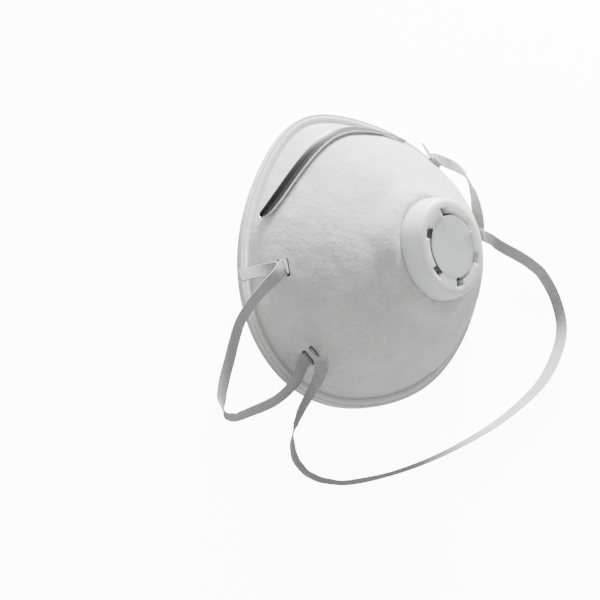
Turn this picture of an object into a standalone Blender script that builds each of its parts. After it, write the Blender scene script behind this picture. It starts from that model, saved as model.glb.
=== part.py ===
"""Disposable cup-shaped dust mask with an exhalation valve and one elastic strap.

The mask lies rim down. +Z points out through the valve, +Y towards the nose, and the origin is
under the middle of the cup, on the plane that the rim rests on. Lengths are in millimetres
here and become metres when a mesh is made.
"""
import math

import bmesh
import bpy
import numpy as np
from mathutils import Vector

MM = 0.001

# ---- the cup -------------------------------------------------------------------------------
HALF_WIDTH = 65.7          # half of the rim's width, before its cheek and nose corrections
HALF_LENGTH = 65.3         # half of the rim's length, nose to chin
FLANGE_WIDTH = 3.6         # flat welded border all round
STACK = 2.7                # thickness of the four layers together
CROWN_HEIGHT = 42.3        # height that the dome would reach above the flange if it came to a point
DOME_POWER_IN = 1.55       # how fast the dome draws in towards the valve
DOME_POWER_UP = 1.45       # how fast it rises from the flange
FOOT = 0.05                # share of the dome's radius over which the wall turns up from the flange

# Each layer: name, depth of its outer face below the mask's outer face, and its thickness.
LAYERS = [
    ("cover_web", 0.0, 0.45),
    ("filter_media", 0.73, 0.45),
    ("support_shell", 1.46, 0.62),
    ("inner_lining", 2.35, 0.35),
]

# ---- the nose ------------------------------------------------------------------------------
CREASE_NOSE = 50.2         # distance of the crease from the origin, on the nose ridge
CREASE_SLOPE = 0.56        # how steeply the crease falls back along the cheeks
CREASE_ROUND = 21.4        # radius-like width of the crease's bend over the nose
FLARE_FULL = 30.0          # half-width over which the nose flare has its full depth
FLARE_END = 50.0           # half-width where the flare has died out
FLARE_SAG = 1.1            # hollow of the flare between the flange and the crease

CLIP_HALF_SPAN = 45.6      # half of the clip's span across the nose
CLIP_WIDTH = 5.0
CLIP_THICK = 0.6
CLIP_GLUE_THICK = 0.15
GAP = 0.3                  # clearance between pieces that touch

FOAM_HALF_SPAN = 39.0
FOAM_WIDTH = 8.5
FOAM_THICK = 4.0
FOAM_GLUE_THICK = 0.2
FOAM_SHIFT = 1.0           # the foam lies this far to the chin side of the crease

# ---- the valve -----------------------------------------------------------------------------
VALVE_Y = -7.6             # the valve's centre lies below the middle of the cup
VALVE_SEAT_Z = 36.2        # height of the flat crown under the valve, at its centre
VALVE_TILT = 0.105         # the valve looks a little towards the chin, in radians
HOLE_RADIUS = 13.5
CLAMP_RADIUS = 18.0        # flange that holds the valve from inside the mask
CROWN_BLEND = 0.5          # softness of the edge between the dome and the flat crown

COVER_RADIUS = 20.6
COVER_TOP_RADIUS = 18.3
COVER_HEIGHT = 10.3
COVER_PLATE = 1.5
DISC_RADIUS = 12.2         # inner edge of the windows
WINDOW_RADIUS = 15.7       # outer edge of the windows at their two ends
WINDOW_SLIT_RADIUS = 13.7  # outer edge of the windows between their ends
SPOKE_FIRST = 107.0        # direction of the first of three spokes, in degrees
WINDOW_SPAN = 84.0         # arc of each window, in degrees
WINDOW_END_SPAN = 20.0     # arc of each wide end of a window

DIAPHRAGM_RADIUS = 14.3
DIAPHRAGM_THICK = 0.5
DIAPHRAGM_HOLE = 2.0
DIAPHRAGM_HEIGHT = 4.2     # underside of the closed diaphragm above the crown

# ---- the strap -----------------------------------------------------------------------------
STRAP_WIDTH = 5.4
STRAP_THICK = 0.6
SLIT_LENGTH = 7.0
SLIT_WIDTH = 1.6
SLIT_PITCH = 3.0           # distance between the two slits of a pair
UPPER_LEFT = (-53.6, 14.5)     # middle of each pair of slits, in plan
LOWER_LEFT = (-59.0, -19.8)
LOWER_RIGHT = (59.0, -19.8)
UPPER_RIGHT = (48.8, 20.1)

# The strap's way through one pair of slits, from the rim side: distance up the wall from the
# pair's middle, and height above the outer face. FOLD goes on from it, back towards the rim.
THREAD = [
    (-3.8, 0.9), (-2.5, 0.8), (-1.85, 0.45), (-1.55, -0.4), (-1.5, -1.6),
    (-1.5, -2.7), (-1.3, -3.35), (-0.8, -3.75), (0.0, -3.9), (0.8, -3.75), (1.3, -3.35),
    (1.5, -2.7), (1.5, -1.4), (1.5, 0.2), (1.5, 1.2),
]
FOLD = [(1.25, 1.9), (0.5, 2.3), (-1.0, 2.4), (-2.8, 2.35)]
# Free stretches of the strap: x, y, z and how far the strap leans from standing on edge.
TAIL_LEFT = [(-66.4, 19.2, 4.6, 62), (-62.6, 18.2, 6.8, 62)]
LOOP_LEFT = [
    (-58.8, 13.6, 15.4, 76), (-62.6, 12.5, 14.4, 70), (-67.6, 10.6, 12.0, 64), (-72.4, 8.1, 9.2, 64),
    (-77.0, 4.8, 6.5, 68), (-81.0, 0.6, 4.6, 72), (-85.8, -4.8, 3.0, 74), (-91.2, -10.0, 2.2, 74),
    (-96.2, -15.2, 2.2, 68), (-98.4, -19.4, 2.8, 34), (-97.2, -22.9, 3.0, -20), (-94.0, -24.6, 2.9, -40),
    (-88.6, -25.8, 2.9, -44), (-83.0, -27.0, 3.0, -48), (-77.6, -27.6, 4.0, -54), (-72.4, -26.8, 5.9, -62),
    (-67.6, -24.6, 8.3, -74),
]
NECK_LOOP = [
    (-60.0, -21.6, 16.7, -60), (-60.6, -24.4, 16.1, -30), (-62.3, -27.5, 14.0, -14),
    (-64.7, -30.3, 11.4, -6), (-67.8, -33.0, 8.9, -2), (-71.0, -35.8, 6.5, 4),
    (-74.1, -38.9, 4.6, 16), (-77.0, -42.0, 3.4, 36),
    (-79.6, -45.8, 3.0, 56), (-80.9, -50.2, 2.7, 62), (-80.2, -55.4, 2.7, 54), (-77.4, -60.8, 2.7, 40),
    (-71.6, -66.6, 2.8, 26), (-62.0, -73.0, 2.9, 14), (-38.0, -83.2, 2.9, 5), (-8.0, -92.0, 2.9, 4),
    (28.0, -98.6, 2.9, 10), (62.0, -100.0, 2.9, 20), (84.0, -95.0, 2.9, 28), (98.2, -86.2, 2.9, 34),
    (103.8, -72.2, 2.9, 38), (101.6, -57.4, 3.6, 42), (94.4, -48.2, 5.2, 48), (86.6, -40.8, 6.6, 54),
    (78.8, -34.6, 8.2, 62), (71.6, -28.9, 10.0, 72), (66.8, -24.4, 11.4, 82),
]
LOOP_RIGHT = [
    (65.0, -20.4, 7.7, 78), (68.4, -17.6, 6.5, 54), (70.8, -13.4, 6.6, 28), (72.2, -8.4, 7.3, 6),
    (73.2, -3.0, 8.2, -18), (72.9, 3.3, 9.2, -44), (70.7, 8.4, 10.7, -66), (65.2, 13.2, 12.3, -80),
    (59.6, 16.6, 13.6, -88),
]
TAIL_RIGHT = [(53.8, 25.2, 10.6, -62), (54.4, 30.0, 9.2, -56)]

SEGMENTS = 40              # facets round the cup
ROUND_SEGMENTS = 40        # facets round the valve
# Rows of the cup's mesh: 0 to 1 over the flange, 1 to 2 up the dome to the valve hole.
ROWS = [0.0, 0.55, 1.0, 1.03, 1.07, 1.13, 1.2, 1.29, 1.41, 1.56, 1.72, 1.87, 2.0]


# ---- the shape of the cup ------------------------------------------------------------------
def rim_outline(theta):
    """Outer edge of the rim in plan: a wide oval with a narrower nose and round cheeks."""
    x = np.cos(theta) + 0.074 * np.cos(3 * theta) - 0.049 * np.sin(2 * theta) + 0.006 * np.cos(5 * theta)
    y = np.sin(theta) + 0.045 * np.sin(3 * theta) - 0.042 * np.cos(theta) ** 2 + 0.010 * np.sin(5 * theta)
    return HALF_WIDTH * x, HALF_LENGTH * y


def inset_outline(theta, inset):
    """The rim's outline moved inwards by a distance."""
    step = 1e-4
    x, y = rim_outline(theta)
    x1, y1 = rim_outline(theta + step)
    x0, y0 = rim_outline(theta - step)
    length = np.hypot(x1 - x0, y1 - y0)
    return x - inset * (y1 - y0) / length, y + inset * (x1 - x0) / length


def crease_y(x):
    """The crease under the nose clip, in plan."""
    return CREASE_NOSE - CREASE_SLOPE * (np.sqrt(x * x + CREASE_ROUND ** 2) - CREASE_ROUND)


def smooth(t):
    t = np.clip(t, 0.0, 1.0)
    return t * t * (3.0 - 2.0 * t)


def dome_height(inward):
    """Height above the flange; inward is 0 at the flange and 1 at the dome's middle."""
    draw = np.clip(1.0 - inward, 0.0, 1.0) ** (1.0 / DOME_POWER_IN)
    return CROWN_HEIGHT * (1.0 - draw * draw) ** (DOME_POWER_UP / 2.0) * smooth(inward / FOOT)


def outer_face(theta, row):
    """Points of the mask's outer face; row is 0 to 1 on the flange and 1 to 2 on the dome."""
    theta, row = np.broadcast_arrays(np.asarray(theta, float), np.asarray(row, float))
    foot_x, foot_y = inset_outline(theta, FLANGE_WIDTH)
    away_x, away_y = foot_x, foot_y - VALVE_Y
    radius = np.hypot(away_x, away_y)
    reach = 1.0 - HOLE_RADIUS / radius
    inward = np.clip(row - 1.0, 0.0, 1.0) * reach

    def plan(part):
        return away_x * (1.0 - part), VALVE_Y + away_y * (1.0 - part)

    x, y = plan(inward)
    height = dome_height(inward)

    # The nose flare: between the flange and the crease the wall is hollow, not round.
    low, high = np.zeros_like(theta), np.full_like(theta, 0.6)
    for _ in range(24):
        middle = (low + high) / 2.0
        mid_x, mid_y = plan(middle)
        outside = mid_y > crease_y(mid_x)
        low, high = np.where(outside, middle, low), np.where(outside, high, middle)
    crease = np.maximum(low, 1e-3)
    along = inward / crease
    chord = dome_height(crease) * along - FLARE_SAG * np.sin(math.pi * np.clip(along, 0.0, 1.0))
    chord = chord * smooth(along * 4.0)
    weight = smooth((FLARE_END - np.abs(x)) / (FLARE_END - FLARE_FULL)) * (y > 0) * (along < 1.0)
    height = height + weight * (np.minimum(chord, height) - height)

    dome = STACK + height
    seat = VALVE_SEAT_Z + math.tan(VALVE_TILT) * (y - VALVE_Y)
    z = -CROWN_BLEND * np.log(np.exp(-dome / CROWN_BLEND) + np.exp(-seat / CROWN_BLEND))

    flange_x, flange_y = inset_outline(theta, FLANGE_WIDTH * np.clip(row, 0.0, 1.0))
    on_flange = row <= 1.0
    return np.stack([np.where(on_flange, flange_x, x), np.where(on_flange, flange_y, y),
                     np.where(on_flange, STACK, z)], axis=-1)


def outward(theta, row):
    """Unit normals of the outer face."""
    theta, row = np.broadcast_arrays(np.asarray(theta, float), np.asarray(row, float))
    step = 0.03
    ahead, behind = np.minimum(row + step, 2.0), np.maximum(row - step, 0.0)
    up = outer_face(theta, ahead) - outer_face(theta, behind)
    around = outer_face(theta + step, row) - outer_face(theta - step, row)
    normal = np.cross(around, up)
    normal = normal / np.linalg.norm(normal, axis=-1, keepdims=True)
    flat = row <= 1.0
    normal[flat] = (0.0, 0.0, 1.0)
    return normal


def find_row(x, y):
    """The direction and row of the outer face's point over a place in plan."""
    theta, row = math.atan2(y, x), 1.3
    for _ in range(40):
        point = outer_face(theta, row)
        error = np.array([x - point[0], y - point[1]])
        by_theta = (outer_face(theta + 1e-4, row) - point)[:2] / 1e-4
        by_row = (outer_face(theta, row + 1e-4) - point)[:2] / 1e-4
        move = np.linalg.solve(np.stack([by_theta, by_row], axis=1), error)
        theta, row = theta + move[0], min(max(row + move[1], 1.002), 1.99)
    return theta, row


# ---- making objects ------------------------------------------------------------------------
def material(name, colour, roughness, metallic=0.0):
    made = bpy.data.materials.new(name)
    made.use_nodes = True
    shader = made.node_tree.nodes["Principled BSDF"]
    shader.inputs["Base Color"].default_value = (*colour, 1.0)
    shader.inputs["Roughness"].default_value = roughness
    shader.inputs["Metallic"].default_value = metallic
    made.diffuse_color = (*colour, 1.0)
    return made


def add_object(name, points, faces, finish, smooth_angle=40.0):
    """An object from points in millimetres, with its faces turned to point out."""
    mesh = bpy.data.meshes.new(name)
    mesh.from_pydata([Vector(point) * MM for point in points], [], faces)
    work = bmesh.new()
    work.from_mesh(mesh)
    bmesh.ops.recalc_face_normals(work, faces=work.faces)
    work.to_mesh(mesh)
    work.free()
    mesh.materials.append(finish)
    mesh.shade_smooth()
    mesh.set_sharp_from_angle(angle=math.radians(smooth_angle))
    made = bpy.data.objects.new(name, mesh)
    bpy.context.scene.collection.objects.link(made)
    return made


def cut(target, cutter):
    """Cuts a guide's shape out of an object."""
    cutter.hide_render = True
    cutter.display_type = "WIRE"
    modifier = target.modifiers.new("cut", "BOOLEAN")
    modifier.object = cutter
    modifier.operation = "DIFFERENCE"


def ring_faces(first, second, count):
    """Quads between two closed rings of points, given by their first indices."""
    return [(first + i, first + (i + 1) % count, second + (i + 1) % count, second + i) for i in range(count)]


def lathe(name, profile, finish, count=ROUND_SEGMENTS):
    """Turns a closed profile of (radius, height) about the valve's axis."""
    points, starts = [], []
    for radius, height in profile:
        starts.append((len(points), radius == 0))
        if radius == 0:
            points.append(valve_point(0, 0, height))
        else:
            for i in range(count):
                angle = 2 * math.pi * i / count
                points.append(valve_point(radius * math.cos(angle), radius * math.sin(angle), height))
    faces = []
    for index, (start, is_tip) in enumerate(starts):
        following, next_is_tip = starts[(index + 1) % len(starts)]
        if is_tip and next_is_tip:
            continue
        if is_tip:
            faces += [(start, following + i, following + (i + 1) % count) for i in range(count)]
        elif next_is_tip:
            faces += [(start + i, start + (i + 1) % count, following) for i in range(count)]
        else:
            faces += ring_faces(start, following, count)
    return add_object(name, points, faces, finish)


def valve_point(x, y, height):
    """A point in the valve's own frame, whose height is along its tilted axis."""
    cos_t, sin_t = math.cos(VALVE_TILT), math.sin(VALVE_TILT)
    return (x, VALVE_Y + y * cos_t - height * sin_t, VALVE_SEAT_Z + y * sin_t + height * cos_t)


def prism(name, outline, bottom, top, finish):
    """Extrudes an outline in the valve's frame along the valve's axis."""
    count = len(outline)
    points = [valve_point(x, y, bottom) for x, y in outline] + [valve_point(x, y, top) for x, y in outline]
    faces = [tuple(range(count)), tuple(range(count, 2 * count))] + ring_faces(0, count, count)
    return add_object(name, points, faces, finish)


# ---- the four layers -----------------------------------------------------------------------
def layer(name, depth, thickness, finish):
    theta = np.linspace(0.0, 2 * math.pi, SEGMENTS, endpoint=False)
    points = []
    for offset, rows in ((depth, ROWS), (depth + thickness, ROWS[::-1])):
        for row in rows:
            face = outer_face(theta, row) - offset * outward(theta, row)
            points += [tuple(point) for point in face]
    rings = 2 * len(ROWS)
    faces = []
    for ring in range(rings):
        first, second = ring * SEGMENTS, (ring + 1) % rings * SEGMENTS
        for i in range(SEGMENTS):
            j = (i + 1) % SEGMENTS
            # Both faces of a layer are split along the same diagonals, so the layers nest.
            if ring < len(ROWS):
                faces += [(first + i, first + j, second + j), (first + i, second + j, second + i)]
            else:
                faces += [(first + i, first + j, second + i), (first + j, second + j, second + i)]
    return add_object(name, points, faces, finish)


def wall_frame(x, y):
    """Origin, direction along the rim, direction up the wall and normal, at a place in plan."""
    theta, row = find_row(x, y)
    origin = outer_face(theta, row)
    normal = outward(theta, row)
    up = outer_face(theta, row + 0.01) - outer_face(theta, row - 0.01)
    up = up - normal * (up @ normal)
    up = up / np.linalg.norm(up)
    return origin, np.cross(up, normal), up, normal


def slit_cutter(finish):
    """Eight flat boxes, one for each slit."""
    points, faces = [], []
    for x, y in (UPPER_LEFT, LOWER_LEFT, LOWER_RIGHT, UPPER_RIGHT):
        origin, along, up, normal = wall_frame(x, y)
        for side in (-0.5, 0.5):
            start = len(points)
            for height in (-6.0, 4.0):
                for a, b in ((-1, -1), (1, -1), (1, 1), (-1, 1)):
                    corner = (origin + normal * height + along * (a * SLIT_LENGTH / 2)
                              + up * (side * SLIT_PITCH + b * SLIT_WIDTH / 2))
                    points.append(tuple(corner))
            faces += [(start, start + 1, start + 2, start + 3), (start + 4, start + 5, start + 6, start + 7)]
            faces += ring_faces(start, start + 4, 4)
    return add_object("slit_guide", points, faces, finish)


# ---- strips that follow the nose -----------------------------------------------------------
def nose_strip(name, half_span, width, near, far, finish, shift=0.0):
    """A strip along the crease with round ends, between two heights over the outer face."""
    span = []
    round_end = width / 2
    for back in (0.0, 0.08, 0.3, 0.65, 1.0):
        span.append((half_span - back * round_end, max(0.18, math.sqrt(1 - (1 - back) ** 2))))
    inner_x = half_span - round_end
    middle = [inner_x * (1 - i / 7) for i in range(1, 7)]
    stations = [(-x, w) for x, w in span] + [(-x, 1.0) for x in middle] + [(0.0, 1.0)]
    stations += [(x, 1.0) for x in reversed(middle)] + [(x, w) for x, w in reversed(span)]
    points = []
    for x, share in stations:
        origin, along, _, normal = wall_frame(x, float(crease_y(x)) - shift)
        tangent_x, tangent_y = 1.0, float(crease_y(x + 0.5) - crease_y(x - 0.5))
        ahead = np.array([tangent_x, tangent_y, 0.0])
        ahead = ahead - normal * (ahead @ normal)
        across = np.cross(normal, ahead / np.linalg.norm(ahead))
        half = share * width / 2
        for height, side in ((near, -1), (near, 1), (far, 1), (far, -1)):
            points.append(tuple(origin + normal * height + across * side * half))
    faces = [(0, 1, 2, 3)]
    for i in range(len(stations) - 1):
        faces += ring_faces(4 * i, 4 * (i + 1), 4)
    last = 4 * (len(stations) - 1)
    faces.append((last, last + 1, last + 2, last + 3))
    return add_object(name, points, faces, finish)


# ---- the strap -----------------------------------------------------------------------------
def threaded(place, fold, outwards=False):
    """The strap's points and width directions through one pair of slits, from the rim side in."""
    origin, along, up, normal = wall_frame(*place)
    way = [(origin + up * step + normal * height, along) for step, height in THREAD + FOLD[:fold]]
    return way[::-1] if outwards else way


def free(stretch):
    """Points of a free stretch, with the width direction from each point's lean."""
    places = [np.array(item[:3]) for item in stretch]
    result = []
    for i, item in enumerate(stretch):
        ahead = places[min(i + 1, len(places) - 1)] - places[max(i - 1, 0)]
        ahead = ahead / np.linalg.norm(ahead)
        sideways = np.cross(ahead, (0.0, 0.0, 1.0))
        sideways = sideways / np.linalg.norm(sideways)
        upright = np.cross(sideways, ahead)
        lean = math.radians(item[3])
        result.append((places[i], upright * math.cos(lean) + sideways * math.sin(lean)))
    return result


def strap_route():
    left = free(TAIL_LEFT) + threaded(UPPER_LEFT, 2) + free(LOOP_LEFT) + threaded(LOWER_LEFT, 0)
    right = free(LOOP_RIGHT) + threaded(UPPER_RIGHT, 4, True) + free(TAIL_RIGHT)
    return left + free(NECK_LOOP) + threaded(LOWER_RIGHT, 4, True) + right


def strap_stations():
    """Smooth stations along the route: place and width direction."""
    route = strap_route()
    places = [place for place, _ in route]
    widths = [route[0][1]]
    for _, across in route[1:]:
        widths.append(across if across @ widths[-1] >= 0 else -across)
    stations = []
    for i in range(len(places) - 1):
        before, start = places[max(i - 1, 0)], places[i]
        end, after = places[i + 1], places[min(i + 2, len(places) - 1)]
        steps = max(1, round(np.linalg.norm(end - start) / 4.0))
        for step in range(steps):
            t = step / steps
            place = 0.5 * (2 * start + (end - before) * t
                           + (2 * before - 5 * start + 4 * end - after) * t * t
                           + (3 * start - before - 3 * end + after) * t ** 3)
            stations.append((place, widths[i] * (1 - t) + widths[i + 1] * t))
    stations.append((places[-1], widths[-1]))
    return stations


def strap(finish):
    stations = strap_stations()
    points = []
    for i, (place, across) in enumerate(stations):
        ahead = stations[min(i + 1, len(stations) - 1)][0] - stations[max(i - 1, 0)][0]
        ahead = ahead / np.linalg.norm(ahead)
        across = across - ahead * (across @ ahead)
        across = across / np.linalg.norm(across)
        thick = np.cross(ahead, across)
        for a, b in ((-1, -1), (1, -1), (1, 1), (-1, 1)):
            points.append(tuple(place + across * a * STRAP_WIDTH / 2 + thick * b * STRAP_THICK / 2))
    faces = [(0, 1, 2, 3)]
    for i in range(len(stations) - 1):
        faces += ring_faces(4 * i, 4 * (i + 1), 4)
    last = 4 * (len(stations) - 1)
    faces.append((last, last + 1, last + 2, last + 3))
    return add_object("elastic_strap", points, faces, finish)


# ---- the valve -----------------------------------------------------------------------------
def arc(radius, start, end, steps):
    return [(radius * math.cos(math.radians(start + (end - start) * i / steps)),
             radius * math.sin(math.radians(start + (end - start) * i / steps))) for i in range(steps + 1)]


def window_outline(start):
    """One window of the valve cover: a narrow arc with a wider pocket at each end."""
    end = start + WINDOW_SPAN
    outline = arc(WINDOW_RADIUS, start, start + WINDOW_END_SPAN, 3)
    outline += arc(WINDOW_SLIT_RADIUS, start + WINDOW_END_SPAN, end - WINDOW_END_SPAN, 5)
    outline += arc(WINDOW_RADIUS, end - WINDOW_END_SPAN, end, 3)
    return outline + arc(DISC_RADIUS, end, start, 10)


def valve_cover(finish):
    inside = COVER_HEIGHT - COVER_PLATE
    profile = [
        (COVER_RADIUS, GAP), (COVER_RADIUS, 1.4), (20.3, 4.2), (19.8, 7.0), (19.2, 9.0),
        (COVER_TOP_RADIUS, COVER_HEIGHT - 0.3), (17.3, COVER_HEIGHT), (0, COVER_HEIGHT),
        (0, inside), (16.3, inside), (17.0, inside - 0.9), (17.3, 4.0), (17.6, GAP),
    ]
    cover = lathe("valve_cover", profile, finish)
    for i in range(3):
        start = SPOKE_FIRST + 120 * i + (120 - WINDOW_SPAN) / 2
        cut(cover, prism(f"window_guide_{i + 1}", window_outline(start), inside - 1.2, COVER_HEIGHT + 1, finish))
    return cover


def valve_seat(finish):
    """Clamp flange inside the mask, throat through the hole, sealing lip, ribs and centre post."""
    below = -STACK - GAP
    profile = [
        (CLAMP_RADIUS, below), (CLAMP_RADIUS, below - 1.3), (11.6, below - 1.3), (11.6, 2.6),
        (12.6, 3.3), (12.8, DIAPHRAGM_HEIGHT - GAP), (13.1, DIAPHRAGM_HEIGHT - GAP), (13.1, below),
    ]
    seat = lathe("valve_seat", profile, finish)
    spider = star_outline(5, 1.7, 0.55, 12.2)
    ribs = prism("rib_guide", spider, below - 1.0, 1.2, finish)
    post = lathe("post_guide", [(0, -2.0), (0, 6.9), (1.3, 6.9), (1.6, 6.5), (1.6, -2.0)], finish, 12)
    for guide in (ribs, post):
        guide.hide_render = True
        guide.display_type = "WIRE"
        modifier = seat.modifiers.new("join", "BOOLEAN")
        modifier.object = guide
        modifier.operation = "UNION"
    return seat


def star_outline(arms, hub, half_width, reach):
    """A hub with straight arms, as one outline."""
    outline = []
    for i in range(arms):
        angle = 2 * math.pi * i / arms + math.pi / 2
        ux, uy = math.cos(angle), math.sin(angle)
        for along, across in ((hub, -half_width), (reach, -half_width), (reach, half_width), (hub, half_width)):
            outline.append((ux * along - uy * across, uy * along + ux * across))
    return outline


def valve_diaphragm(finish):
    """A thin disc whose origin is on the valve's axis."""
    top = DIAPHRAGM_HEIGHT + DIAPHRAGM_THICK
    disc = lathe("valve_diaphragm", [(DIAPHRAGM_HOLE, DIAPHRAGM_HEIGHT), (DIAPHRAGM_HOLE, top),
                                     (DIAPHRAGM_RADIUS, top), (DIAPHRAGM_RADIUS, DIAPHRAGM_HEIGHT)], finish)
    centre = Vector(valve_point(0, 0, DIAPHRAGM_HEIGHT)) * MM
    for vertex in disc.data.vertices:
        vertex.co -= centre
    disc.location = centre
    return disc


def build():
    for item in list(bpy.data.objects):
        bpy.data.objects.remove(item)
    bpy.context.scene.unit_settings.system = "METRIC"

    colours = {
        "cover_web": (0.80, 0.80, 0.79),
        "filter_media": (0.86, 0.86, 0.84),
        "support_shell": (0.78, 0.78, 0.76),
        "inner_lining": (0.84, 0.84, 0.83),
    }
    guide_finish = material("guide", (0.2, 0.5, 0.9), 0.5)
    slits = slit_cutter(guide_finish)
    for name, depth, thickness in LAYERS:
        cut(layer(name, depth, thickness, material(name, colours[name], 0.95)), slits)

    aluminium = material("nose_clip", (0.55, 0.55, 0.56), 0.35, 1.0)
    glue = material("adhesive", (0.85, 0.84, 0.78), 0.6)
    clip_base = 2 * GAP + CLIP_GLUE_THICK
    nose_strip("nose_clip_adhesive", CLIP_HALF_SPAN - 0.8, CLIP_WIDTH - 1.2, GAP, GAP + CLIP_GLUE_THICK, glue)
    nose_strip("nose_clip", CLIP_HALF_SPAN, CLIP_WIDTH, clip_base, clip_base + CLIP_THICK, aluminium)

    foam_top = -STACK - 1.2
    foam_base = foam_top - FOAM_GLUE_THICK - GAP
    nose_strip("nose_foam_adhesive", FOAM_HALF_SPAN - 1.5, FOAM_WIDTH - 3.0, foam_top - FOAM_GLUE_THICK,
               foam_top, glue, FOAM_SHIFT)
    nose_strip("nose_foam", FOAM_HALF_SPAN, FOAM_WIDTH, foam_base - FOAM_THICK, foam_base,
               material("nose_foam", (0.03, 0.03, 0.03), 0.95), FOAM_SHIFT)

    plastic = material("valve_plastic", (0.82, 0.83, 0.82), 0.4)
    valve_cover(plastic)
    valve_seat(plastic)
    valve_diaphragm(material("diaphragm_rubber", (0.30, 0.36, 0.33), 0.5))
    strap(material("elastic", (0.42, 0.42, 0.42), 0.8))


build()
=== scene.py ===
"""The looks of a disposable cup-shaped dust mask: felt layers, nose clip, foam, valve and strap.

The mask lies rim down. +Z points out through the valve and +Y towards the nose. Lengths are in
millimetres here and become metres when a mesh is made.
"""
import math

import bmesh
import bpy
import numpy as np
from mathutils import Matrix, Vector, noise


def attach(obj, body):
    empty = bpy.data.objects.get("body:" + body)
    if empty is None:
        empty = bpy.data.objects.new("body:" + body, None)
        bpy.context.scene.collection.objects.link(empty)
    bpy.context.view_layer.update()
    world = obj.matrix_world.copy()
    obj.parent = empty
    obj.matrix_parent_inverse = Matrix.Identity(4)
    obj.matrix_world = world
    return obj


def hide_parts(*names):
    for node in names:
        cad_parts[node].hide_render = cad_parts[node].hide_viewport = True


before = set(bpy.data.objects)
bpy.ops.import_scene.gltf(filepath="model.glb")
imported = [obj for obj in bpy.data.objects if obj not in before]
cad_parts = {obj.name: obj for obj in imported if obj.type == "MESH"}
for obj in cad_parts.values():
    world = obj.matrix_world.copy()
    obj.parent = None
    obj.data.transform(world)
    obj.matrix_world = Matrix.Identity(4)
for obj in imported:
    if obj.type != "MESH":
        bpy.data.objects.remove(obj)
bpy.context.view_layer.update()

MM = 0.001

# ---- the cup, as in the frame ----------------------------------------------------------------
HALF_WIDTH = 65.7
HALF_LENGTH = 65.3
FLANGE_WIDTH = 3.6
STACK = 2.7
CROWN_HEIGHT = 42.3
DOME_POWER_IN = 1.55
DOME_POWER_UP = 1.45
FOOT = 0.05
LAYERS = {
    "cover_web": (0.0, 0.45),
    "filter_media": (0.73, 0.45),
    "support_shell": (1.46, 0.62),
    "inner_lining": (2.35, 0.35),
}

CREASE_NOSE = 50.2
CREASE_SLOPE = 0.56
CREASE_ROUND = 21.4
FLARE_FULL = 30.0
FLARE_END = 50.0
FLARE_SAG = 1.1
GAP = 0.3

CLIP_HALF_SPAN = 45.6
CLIP_WIDTH = 5.0
CLIP_THICK = 0.6
CLIP_GLUE_THICK = 0.15
FOAM_HALF_SPAN = 39.0
FOAM_WIDTH = 8.5
FOAM_THICK = 4.0
FOAM_GLUE_THICK = 0.2
FOAM_SHIFT = 1.0
FOAM_TOP = -STACK - 1.2

VALVE_Y = -7.6
VALVE_SEAT_Z = 36.2
VALVE_TILT = 0.105
HOLE_RADIUS = 13.5
CLAMP_RADIUS = 18.0
CROWN_BLEND = 0.5
COVER_RADIUS = 20.6
COLLAR_RADIUS = 31.0       # the felt swells up to the valve's skirt from this far out
COLLAR_LIFT = 2.4
COVER_TOP_RADIUS = 18.3
COVER_HEIGHT = 10.3
COVER_PLATE = 1.5
DISC_RADIUS = 12.2
WINDOW_RADIUS = 15.7
WINDOW_SLIT_RADIUS = 13.7
SPOKE_FIRST = 107.0
WINDOW_SPAN = 84.0
WINDOW_END_SPAN = 20.0
DIAPHRAGM_RADIUS = 14.3
DIAPHRAGM_THICK = 0.5
DIAPHRAGM_HOLE = 2.0
DIAPHRAGM_HEIGHT = 4.2

# ---- the strap's route, as in the frame --------------------------------------------------------
STRAP_WIDTH = 5.4
STRAP_THICK = 0.6
SLIT_LENGTH = 7.0
SLIT_WIDTH = 1.6
SLIT_PITCH = 3.0
UPPER_LEFT = (-53.6, 14.5)
LOWER_LEFT = (-59.0, -19.8)
LOWER_RIGHT = (59.0, -19.8)
UPPER_RIGHT = (48.8, 20.1)
THREAD = [
    (-3.8, 0.9), (-2.5, 0.8), (-1.85, 0.45), (-1.55, -0.4), (-1.5, -1.6),
    (-1.5, -2.7), (-1.3, -3.35), (-0.8, -3.75), (0.0, -3.9), (0.8, -3.75), (1.3, -3.35),
    (1.5, -2.7), (1.5, -1.4), (1.5, 0.2), (1.5, 1.2),
]
FOLD = [(1.25, 1.9), (0.5, 2.3), (-1.0, 2.4), (-2.8, 2.35)]
TAIL_LEFT = [(-66.4, 19.2, 4.6, 62), (-62.6, 18.2, 6.8, 62)]
LOOP_LEFT = [
    (-58.8, 13.6, 15.4, 76), (-62.6, 12.5, 14.4, 70), (-67.6, 10.6, 12.0, 64), (-72.4, 8.1, 9.2, 64),
    (-77.0, 4.8, 6.5, 68), (-81.0, 0.6, 4.6, 72), (-85.8, -4.8, 3.0, 74), (-91.2, -10.0, 2.2, 74),
    (-96.2, -15.2, 2.2, 68), (-98.4, -19.4, 2.8, 34), (-97.2, -22.9, 3.0, -20), (-94.0, -24.6, 2.9, -40),
    (-88.6, -25.8, 2.9, -44), (-83.0, -27.0, 3.0, -48), (-77.6, -27.6, 4.0, -54), (-72.4, -26.8, 5.9, -62),
    (-67.6, -24.6, 8.3, -74),
]
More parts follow.
